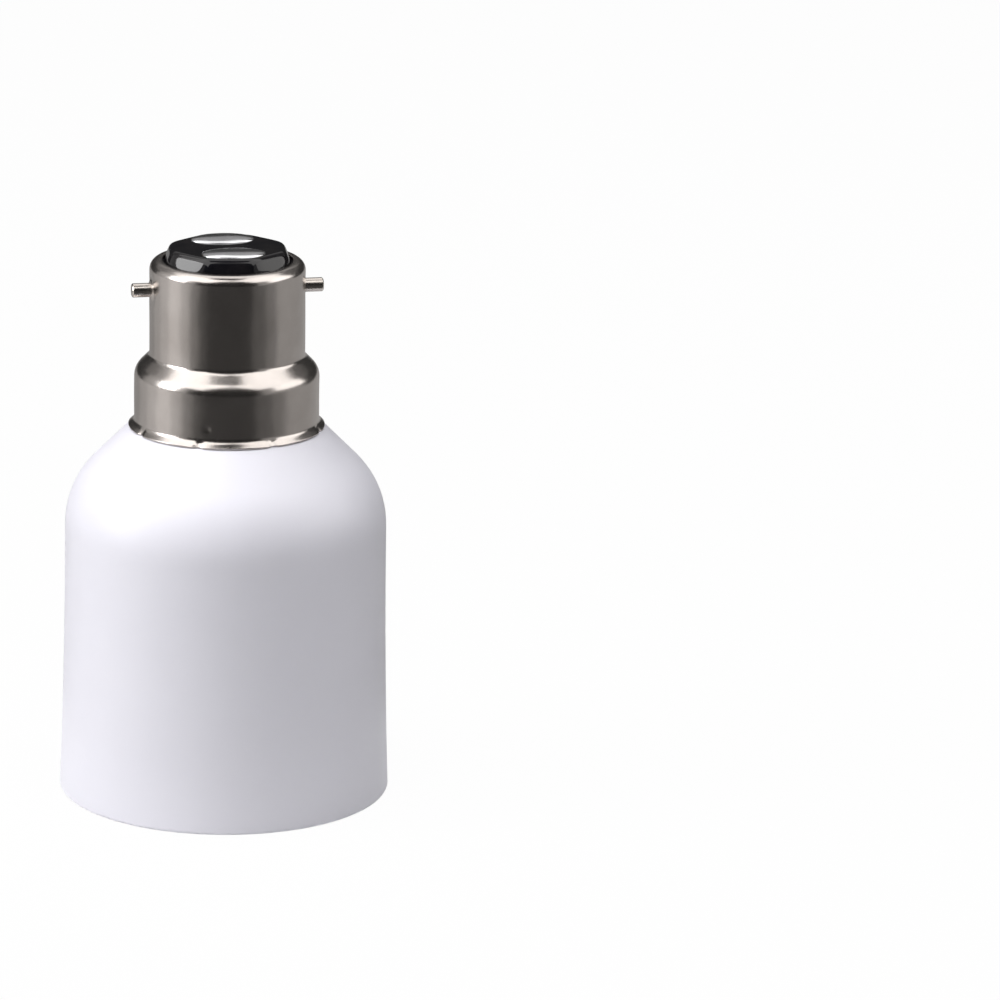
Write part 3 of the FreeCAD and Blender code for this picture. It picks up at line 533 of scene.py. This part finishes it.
def jaw_marked(radius, height, front):
    jaw = (front - JAW_ANGLE) * JAWS / (2 * math.pi)
    beside = np.abs(jaw - np.round(jaw)) * 2 * math.pi / JAWS * FLANGE_RADIUS
    swell = np.sin(np.minimum(beside / (math.pi * FLANGE_RADIUS / JAWS), 1.0) * math.pi / 2)
    low = fade_in(LEDGE_Z + JAW_PULL_HEIGHT - height, JAW_PULL_HEIGHT)
    rim = fade_in(LEDGE_Z + FLANGE_HEIGHT - height, FLANGE_HEIGHT)
    pinch = JAW_DEPTH * bell(beside, JAW_WIDTH) * rim ** JAW_FADE
    radius = radius - pinch - JAW_PULL * (1 - swell) * low
    lift = JAW_LIFT * (swell - JAW_LIFT_LEVEL) * rim
    height = height + lift * fade_in(height - LEDGE_Z, JAW_LIFT_RUN)
    return radius, height


def knocked(radius, height, front):
    for place, z, width, depth in KNOCKS:
        away = np.hypot((front - math.radians(place)) * SKIRT_RADIUS, height - z)
        radius = radius - depth * bell(away, width)
    return radius


def staked(radius, height, angles):
    for place in (RIGHT, LEFT):
        turn = counted_from(angles, place)
        away = np.hypot(turn * CAP_RADIUS, height - PIN_Z)
        ring = STAKE_RING_HEIGHT * bell(away - STAKE_RING_RADIUS, STAKE_RING_WIDTH)
        dip = STAKE_DIP_DEPTH * bell(away - STAKE_DIP_RADIUS, STAKE_DIP_WIDTH)
        radius = radius + (ring - dip) * (np.abs(turn) < STAKE_REACH)
    return radius


def waved(radius, height, angles):
    waves = sum(depth * np.sin(count * angles + height / rise) for depth, count, rise in WAVES)
    return radius + waves * fade_in(height - LEDGE_Z - WAVES_START, WAVES_RUN)


def make_cap():
    angles = columns_round(CAP_COLUMNS)
    front = counted_from(angles, FRONT)
    radius, height = turned_grid(cap_profile(), angles)
    radius, height = jaw_marked(radius, height, front)
    radius = knocked(radius, height, front)
    radius = staked(radius, height, angles)
    radius = waved(radius, height, angles)
    piece = ring_mesh("cap_skin", radius, height, angles, closed=True, material=CAP_METAL)
    finish_piece(piece, "cap_nickel", "cap_shell")


# Pressed glass: a round body in the cap, with an eight-sided top whose edges the mould leaves soft
def facet_corners(angles):
    """Radius over apothem of the eight-sided top at each angle, with soft corners."""
    facing = np.zeros_like(angles)
    for facet in range(GLASS_FACETS):
        turn = angles - GLASS_TURN - 2 * math.pi * facet / GLASS_FACETS
        facing = facing + np.maximum(np.cos(turn), 0.0) ** FACET_CRISPNESS
    return facing ** (-1 / FACET_CRISPNESS)


def make_glass():
    body = [
        (GLASS_AXIS_GAP, GLASS_BOTTOM_Z),
        (GLASS_BOSS_RADIUS, GLASS_BOTTOM_Z),
        (GLASS_BOSS_RADIUS, GLASS_RIM_Z),
        (GLASS_RADIUS, GLASS_RIM_Z),
        (GLASS_RADIUS, GLASS_FOOT_Z),
        (GLASS_FOOT_APOTHEM + GLASS_FOOT_SPREAD, GLASS_FOOT_Z),
        (GLASS_TOP_APOTHEM, GLASS_TOP_Z),
        (GLASS_AXIS_GAP, GLASS_TOP_Z),
    ]
    under_lip = LIP_ROUND - CAP_SHEET
    edges = [GLASS_EDGE, GLASS_EDGE, GLASS_EDGE, under_lip, GLASS_FOOT_ROUND, GLASS_TOP_ROUND]
    angles = columns_round(GLASS_COLUMNS)
    radius, height = turned_grid(rounded(body, edges, GLASS_STEP), angles)
    share = fade_in(height - GLASS_FOOT_Z, FACET_RUN) * fade_in(radius, GLASS_TOP_APOTHEM)
    pressed = radius * (1 + (facet_corners(angles) - 1) * share)

    # A smooth minimum keeps the facets within the neck, which passes the cap's opening
    crisp = GLASS_NECK_CRISPNESS
    neck = (pressed ** -crisp + GLASS_NECK_RADIUS ** -crisp) ** (-1 / crisp)
    radius = np.where(height > GLASS_FOOT_Z, neck, radius)
    piece = ring_mesh("glass_insulator", radius, height, angles, closed=False, material=BLACK_GLASS)
    finish_piece(piece, "black_glass", "cap_insulator")


# Solder domes: hand-dipped, so neither outline nor top is quite even
def make_dome(name, side, phase):
    """One dome; the phase shifts its waves, so that the two domes differ."""
    angles = columns_round(DOME_COLUMNS)
    shares = np.concatenate([np.linspace(*rings) for rings in DOME_RINGS])[::-1, None]
    coarse = DOME_COARSE_DEPTH * np.sin(DOME_COARSE_WAVES * angles + phase)
    fine = DOME_FINE_DEPTH * np.sin(DOME_FINE_WAVES * angles + 2 * phase)
    outline = 1 + coarse + fine
    x = DOME_HALF_LENGTH * shares * np.cos(angles) * outline
    y = DOME_HALF_WIDTH * shares * np.sin(angles) * outline
    along = DOME_SLUMP_ALONG * (1 + np.sin(DOME_RIPPLE_ALONG * x + phase))
    across = DOME_SLUMP_ACROSS * (1 + np.cos(DOME_RIPPLE_ACROSS * y - phase))
    crown = np.sqrt(np.maximum(1 - shares ** 2, 0.0))
    height = GLASS_TOP_Z + DOME_HEIGHT * crown * (1 - along - across)
    radius = np.hypot(x, y)
    turn = np.arctan2(y, x)
    foot_height = np.full_like(radius[:1], GLASS_TOP_Z - DOME_FOOT)
    radius = np.concatenate([radius[:1], radius])
    height = np.concatenate([foot_height, height])
    turn = np.concatenate([turn[:1], turn])
    piece = ring_mesh(name, radius, height, turn, closed=False, material=SOLDER)
    piece.data.transform(Matrix.Translation((0.0, side * DOME_OFFSET * MM, 0.0)))
    finish_piece(piece, "solder", "solder_contact_front" if side < 0 else "solder_contact_back")


# Rolled screw shell
def thread_wall(z, angles):
    """Inner radius of the rolled wall: full at the collar, a wave along the thread, plain at its end."""
    ramps = []
    for distance in (z - THREAD_START_Z, THREAD_END_Z - z):
        share = fade_in(distance, THREAD_RUNOUT)
        ramps.append(share * share * (3 - 2 * share))
    start, end = ramps
    wave = np.cos(2 * math.pi * (z - THREAD_START_Z) / THREAD_PITCH - angles)
    return PLAIN_RADIUS + THREAD_DEPTH / 2 * ((1 - start) + start * end * wave)


def shell_profile():
    """Closed outline of the sheet before the thread is rolled, and a column that marks its outer side."""
    flare = [
        (SHELL_RIM_RADIUS, SHELL_RIM_Z),
        (THREAD_MAJOR_RADIUS, FLARE_END_Z),
        (THREAD_MAJOR_RADIUS, THREAD_START_Z),
    ]
    bottom = [
        (PLAIN_RADIUS, THREAD_END_Z),
        (PLAIN_RADIUS, DISH_Z),
        (SHELF_RADIUS, SHELF_Z),
        (STEP_TOP_RADIUS, SHELF_Z),
        (STEP_FOOT_RADIUS, SHELL_BOTTOM_Z),
        (SHELL_HOLE_RADIUS, SHELL_BOTTOM_Z),
    ]
    collar = rounded(flare, [FLARE_BEND], COLLAR_STEP)
    wall = np.array([(PLAIN_RADIUS, z) for z in np.linspace(THREAD_START_Z, THREAD_END_Z, WALL_ROWS)[1:]])
    dish = rounded(bottom, [DISH_BEND, SHELF_BEND, STEP_BEND, STEP_BEND], DISH_STEP)[1:]
    inner = np.concatenate([collar, wall, dish])
    outer = moved_in(inner, -SHELL_SHEET)[::-1]
    outer[:, 1] = np.maximum(outer[:, 1], SHELL_RIM_Z)
    outside = np.concatenate([np.zeros(len(inner)), np.ones(len(outer))])[::-1, None]
    return np.concatenate([inner, outer])[::-1], outside


def toothed(radius, height, angles, outside):
    teeth = 0.5 + 0.5 * np.cos(RIM_TEETH * angles)
    rim = fade_in(FLARE_END_Z - height, TOOTH_FADE)
    radius = radius - TOOTH_DEPTH * teeth * rim * outside
    height = height + TOOTH_HEIGHT * teeth * rim * fade_in(SHELL_RIM_Z + TOOTH_LENGTH - height, TOOTH_LENGTH)
    return radius, height


def dimpled(radius, height, angles):
    for place in (FRONT, BACK):
        turn = counted_from(angles, place)
        away = np.hypot(turn * radius, (radius - DIMPLE_RADIUS) * DIMPLE_SQUASH)
        on_dish = (height > DISH_Z) & (height < SHELF_Z + DIMPLE_MARGIN)
        near = np.abs(turn) < DIMPLE_REACH
        height = height + DIMPLE_DEPTH * bell(away, DIMPLE_WIDTH) * on_dish * near
    return height


def make_shell():
    profile, outside = shell_profile()
    angles = columns_round(SHELL_COLUMNS)
    radius, height = turned_grid(profile, angles)
    between = (height > THREAD_START_Z) & (height < THREAD_END_Z)
    on_wall = between & (radius > PLAIN_RADIUS - PLAIN_MARGIN)
    radius = np.where(on_wall, thread_wall(height, angles) + SHELL_SHEET * outside, radius)
    radius, height = toothed(radius, height, angles, outside)
    height = dimpled(radius, height, angles)
    piece = ring_mesh("rolled_shell", radius, height, angles, closed=True, material=SHELL_METAL)
    finish_piece(piece, "shell_nickel", "screw_shell")


dress_nodes()
make_cap()
make_glass()
make_dome("solder_dome_front", side=-1, phase=0.6)
make_dome("solder_dome_back", side=1, phase=2.3)
make_shell()


# Camera
def make_camera():
    data = bpy.data.cameras.new("camera")
    data.lens = CAMERA_LENS
    data.sensor_width = CAMERA_SENSOR
    data.clip_start = CAMERA_NEAR
    data.clip_end = CAMERA_FAR
    camera = bpy.data.objects.new("camera", data)
    bpy.context.scene.collection.objects.link(camera)
    aim = (CAMERA_AIM - CAMERA_PLACE).to_track_quat("-Z", "Y").to_matrix().to_4x4()
    tilt = Matrix.Rotation(math.radians(CAMERA_ROLL), 4, "Z")
    camera.matrix_world = Matrix.Translation(CAMERA_PLACE) @ aim @ tilt
    bpy.context.scene.camera = camera


# Stage and light, in metres. Azimuths count from the camera's side, positive to the picture's right.
CAMERA_AZIMUTH = math.atan2(CAMERA_PLACE.x, -CAMERA_PLACE.y)
STAGE_CENTRE = Vector((0.0, 0.0, 0.045))
FLOOR_SIDES = 128
FLOOR_HOLE = 0.0231
FLOOR_REACH = 2.0
PAPER_GREY = 0.72
PAPER_WHITE_SHARE = 0.97
ROOM_COLOUR = (0.97, 0.98, 1.0, 1.0)
ROOM_STRENGTH = 0.005
CARD_TINT = (1.0, 0.98, 0.96)
ARC_STEPS = 8
FLOOR_CARDS_NEAR = 0.05
FLOOR_CARDS_FAR = 1.4
FLOOR_CARDS_Z = 0.001
WALL_CARDS_DISTANCE = 1.1
CEILING_CARDS_NEAR = 0.02
CEILING_CARDS_FAR = 1.2
CEILING_CARDS_Z = 1.2

# What polished parts reflect. Floor and ceiling: azimuths from and to, and the grey card's level
FLOOR_SHADES = [
    (-180, -135, 0.33),
    (-135, -115, 0.46),
    (-115, -95, 0.60),
    (-95, -72, 0.82),
    (-72, -56, 0.58),
    (-56, -42, 0.27),
    (-42, -30, 0.10),
    (-30, 36, 0.055),
    (36, 58, 0.13),
    (58, 76, 0.22),
    (76, 180, 0.39),
]
CEILING_SHADES = [
    (-110, 110, 0.45),
    (110, 250, 1.30),
]

# Walls: azimuths from and to, bottom, top, and the grey card's level
WALL_SHADES = [
    (-50, 45, 0.0, 1.2, 0.02),
    (-125, -50, 0.0, 1.2, 0.40),
    (45, 112, 0.0, 1.2, 0.35),
    (112, 235, 0.0, 0.48, 0.03),
    (112, 160, 0.48, 1.2, 0.10),
    (160, 200, 0.48, 1.2, 0.30),
    (200, 235, 0.48, 1.2, 0.20),
]


def around(azimuth, elevation, distance):
    """A place at a distance from the stage's centre."""
    turn = CAMERA_AZIMUTH + math.radians(azimuth)
    rise = math.radians(elevation)
    flat = Vector((math.sin(turn), -math.cos(turn), 0.0)) * math.cos(rise)
    return STAGE_CENTRE + (flat + Vector((0.0, 0.0, math.sin(rise)))) * distance


def card(name, corners, level):
    """A grey studio card that only reflections show."""
    mesh = bpy.data.meshes.new(name)
    mesh.from_pydata(corners, [], [tuple(range(len(corners)))])
    made = bpy.data.objects.new(name, mesh)
    bpy.context.scene.collection.objects.link(made)
    material, tree = bare_material(name)
    glow = node(tree, "ShaderNodeEmission")
    glow.inputs["Color"].default_value = tuple(level * tint for tint in CARD_TINT) + (1.0,)
    output = node(tree, "ShaderNodeOutputMaterial")
    tree.links.new(glow.outputs[0], output.inputs["Surface"])
    mesh.materials.append(material)
    made.visible_camera = False
    made.visible_diffuse = False
    made.visible_transmission = False
    made.visible_volume_scatter = False
    made.visible_shadow = False


def arc(azimuth_from, azimuth_to, distance, height):
    """Corners along an arc round the stage's centre, all at one height."""
    corners = []
    for step in range(ARC_STEPS + 1):
        azimuth = azimuth_from + (azimuth_to - azimuth_from) * step / ARC_STEPS
        place = around(azimuth, 0, distance)
        corners.append((place.x, place.y, height))
    return corners


def flat_card(name, azimuth_from, azimuth_to, near, far, height, level):
    inside = arc(azimuth_from, azimuth_to, near, height)
    outside = arc(azimuth_to, azimuth_from, far, height)
    card(name, inside + outside, level)


def wall_card(name, azimuth_from, azimuth_to, distance, bottom, top, level):
    foot = arc(azimuth_from, azimuth_to, distance, bottom)
    head = arc(azimuth_to, azimuth_from, distance, top)
    card(name, foot + head, level)


def softbox(name, azimuth, elevation, distance, width, height, power, glow=None):
    """A soft lamp. Where a glow is given, polished parts show a card of that level in the lamp's place."""
    data = bpy.data.lights.new(name, "AREA")
    data.shape = "RECTANGLE"
    data.size = width
    data.size_y = height
    data.energy = power
    lamp = bpy.data.objects.new(name, data)
    bpy.context.scene.collection.objects.link(lamp)
    lamp.location = around(azimuth, elevation, distance)
    lamp.rotation_euler = (STAGE_CENTRE - lamp.location).to_track_quat("-Z", "Y").to_euler()
    if glow is not None:
        lamp.visible_glossy = False
        bpy.context.view_layer.update()
        sides = [(-1, -1), (1, -1), (1, 1), (-1, 1)]
        corners = [Vector((width / 2 * x, height / 2 * y, 0.0)) for x, y in sides]
        card(f"{name}_card", [tuple(lamp.matrix_world @ corner) for corner in corners], glow)


def seen_plain(tree):
    """1 for the rays that show a background: camera, glossy and transmission rays."""
    path = node(tree, "ShaderNodeLightPath")
    first = node(tree, "ShaderNodeMath", operation="MAXIMUM")
    second = node(tree, "ShaderNodeMath", operation="MAXIMUM")
    tree.links.new(path.outputs["Is Camera Ray"], first.inputs[0])
    tree.links.new(path.outputs["Is Glossy Ray"], first.inputs[1])
    tree.links.new(first.outputs[0], second.inputs[0])
    tree.links.new(path.outputs["Is Transmission Ray"], second.inputs[1])
    return second.outputs[0]


def make_world():
    """White where it is seen, and a dim room for the light that it gives."""
    world = bpy.data.worlds.new("studio")
    bpy.context.scene.world = world
    world.use_nodes = True
    tree = world.node_tree
    output = tree.nodes["World Output"]
    room = tree.nodes["Background"]
    room.inputs["Color"].default_value = ROOM_COLOUR
    room.inputs["Strength"].default_value = ROOM_STRENGTH
    white = node(tree, "ShaderNodeBackground")
    white.inputs["Color"].default_value = (1.0, 1.0, 1.0, 1.0)
    blend = node(tree, "ShaderNodeMixShader")
    tree.links.new(seen_plain(tree), blend.inputs[0])
    tree.links.new(room.outputs[0], blend.inputs[1])
    tree.links.new(white.outputs[0], blend.inputs[2])
    tree.links.new(blend.outputs[0], output.inputs[0])


def paper():
    """White paper that is nearly the background's white where it is seen, and clear from below."""
    material, tree = bare_material("floor_paper")
    output = node(tree, "ShaderNodeOutputMaterial")
    matt = node(tree, "ShaderNodeBsdfDiffuse")
    matt.inputs["Color"].default_value = (PAPER_GREY, PAPER_GREY, PAPER_GREY, 1.0)
    white = node(tree, "ShaderNodeEmission")
    share = node(tree, "ShaderNodeMath", operation="MULTIPLY")
    share.inputs[1].default_value = PAPER_WHITE_SHARE
    blend = node(tree, "ShaderNodeMixShader")
    clear = node(tree, "ShaderNodeBsdfTransparent")
    side = node(tree, "ShaderNodeNewGeometry")
    open_below = node(tree, "ShaderNodeMixShader")
    tree.links.new(seen_plain(tree), share.inputs[0])
    tree.links.new(share.outputs[0], blend.inputs[0])
    tree.links.new(matt.outputs[0], blend.inputs[1])
    tree.links.new(white.outputs[0], blend.inputs[2])
    tree.links.new(side.outputs["Backfacing"], open_below.inputs[0])
    tree.links.new(blend.outputs[0], open_below.inputs[1])
    tree.links.new(clear.outputs[0], open_below.inputs[2])
    tree.links.new(open_below.outputs[0], output.inputs["Surface"])
    return material


def make_floor():
    """A ring of paper, with a hole that the housing's rim stands round."""
    points = []
    for step in range(FLOOR_SIDES):
        turn = 2 * math.pi * step / FLOOR_SIDES
        for reach in (FLOOR_HOLE, FLOOR_REACH):
            points.append((reach * math.cos(turn), reach * math.sin(turn), 0.0))
    count = len(points)
    faces = [(step, step + 1, (step + 3) % count, (step + 2) % count) for step in range(0, count, 2)]
    mesh = bpy.data.meshes.new("floor")
    mesh.from_pydata(points, [], faces)
    mesh.materials.append(paper())
    floor = bpy.data.objects.new("floor", mesh)
    bpy.context.scene.collection.objects.link(floor)


def make_cards():
    for index, (azimuth_from, azimuth_to, level) in enumerate(FLOOR_SHADES):
        flat_card(f"floor_shade_{index}", azimuth_from, azimuth_to,
                  FLOOR_CARDS_NEAR, FLOOR_CARDS_FAR, FLOOR_CARDS_Z, level)
    for index, (azimuth_from, azimuth_to, bottom, top, level) in enumerate(WALL_SHADES):
        wall_card(f"wall_shade_{index}", azimuth_from, azimuth_to, WALL_CARDS_DISTANCE, bottom, top, level)
    for index, (azimuth_from, azimuth_to, level) in enumerate(CEILING_SHADES):
        flat_card(f"ceiling_shade_{index}", azimuth_from, azimuth_to,
                  CEILING_CARDS_NEAR, CEILING_CARDS_FAR, CEILING_CARDS_Z, level)
    wall_card("side_card", 64, 112, distance=1.0, bottom=0.22, top=0.72, level=1.9)


def make_lamps():
    """Each lamp's azimuth and elevation are in degrees, and its distance is in metres."""
    softbox("key_low", -80, 20, 0.9, width=0.4, height=0.45, power=3.8)
    softbox("key_high", -63, 56, 0.9, width=1.0, height=0.8, power=3.5, glow=2.0)
    softbox("fill_high", 76, 56, 0.9, width=1.0, height=0.7, power=1.7, glow=1.7)
    softbox("top_light", 0, 84, 0.9, width=0.4, height=0.4, power=5.4, glow=0.0)

    # Under the paper, to light the socket through the floor's hole in views from below
    softbox("socket_light", 0, -86, 0.6, width=0.6, height=0.6, power=3.2, glow=0.8)


make_camera()
make_world()
make_floor()
make_cards()
make_lamps()
bpy.context.scene.view_settings.view_transform = "Standard"

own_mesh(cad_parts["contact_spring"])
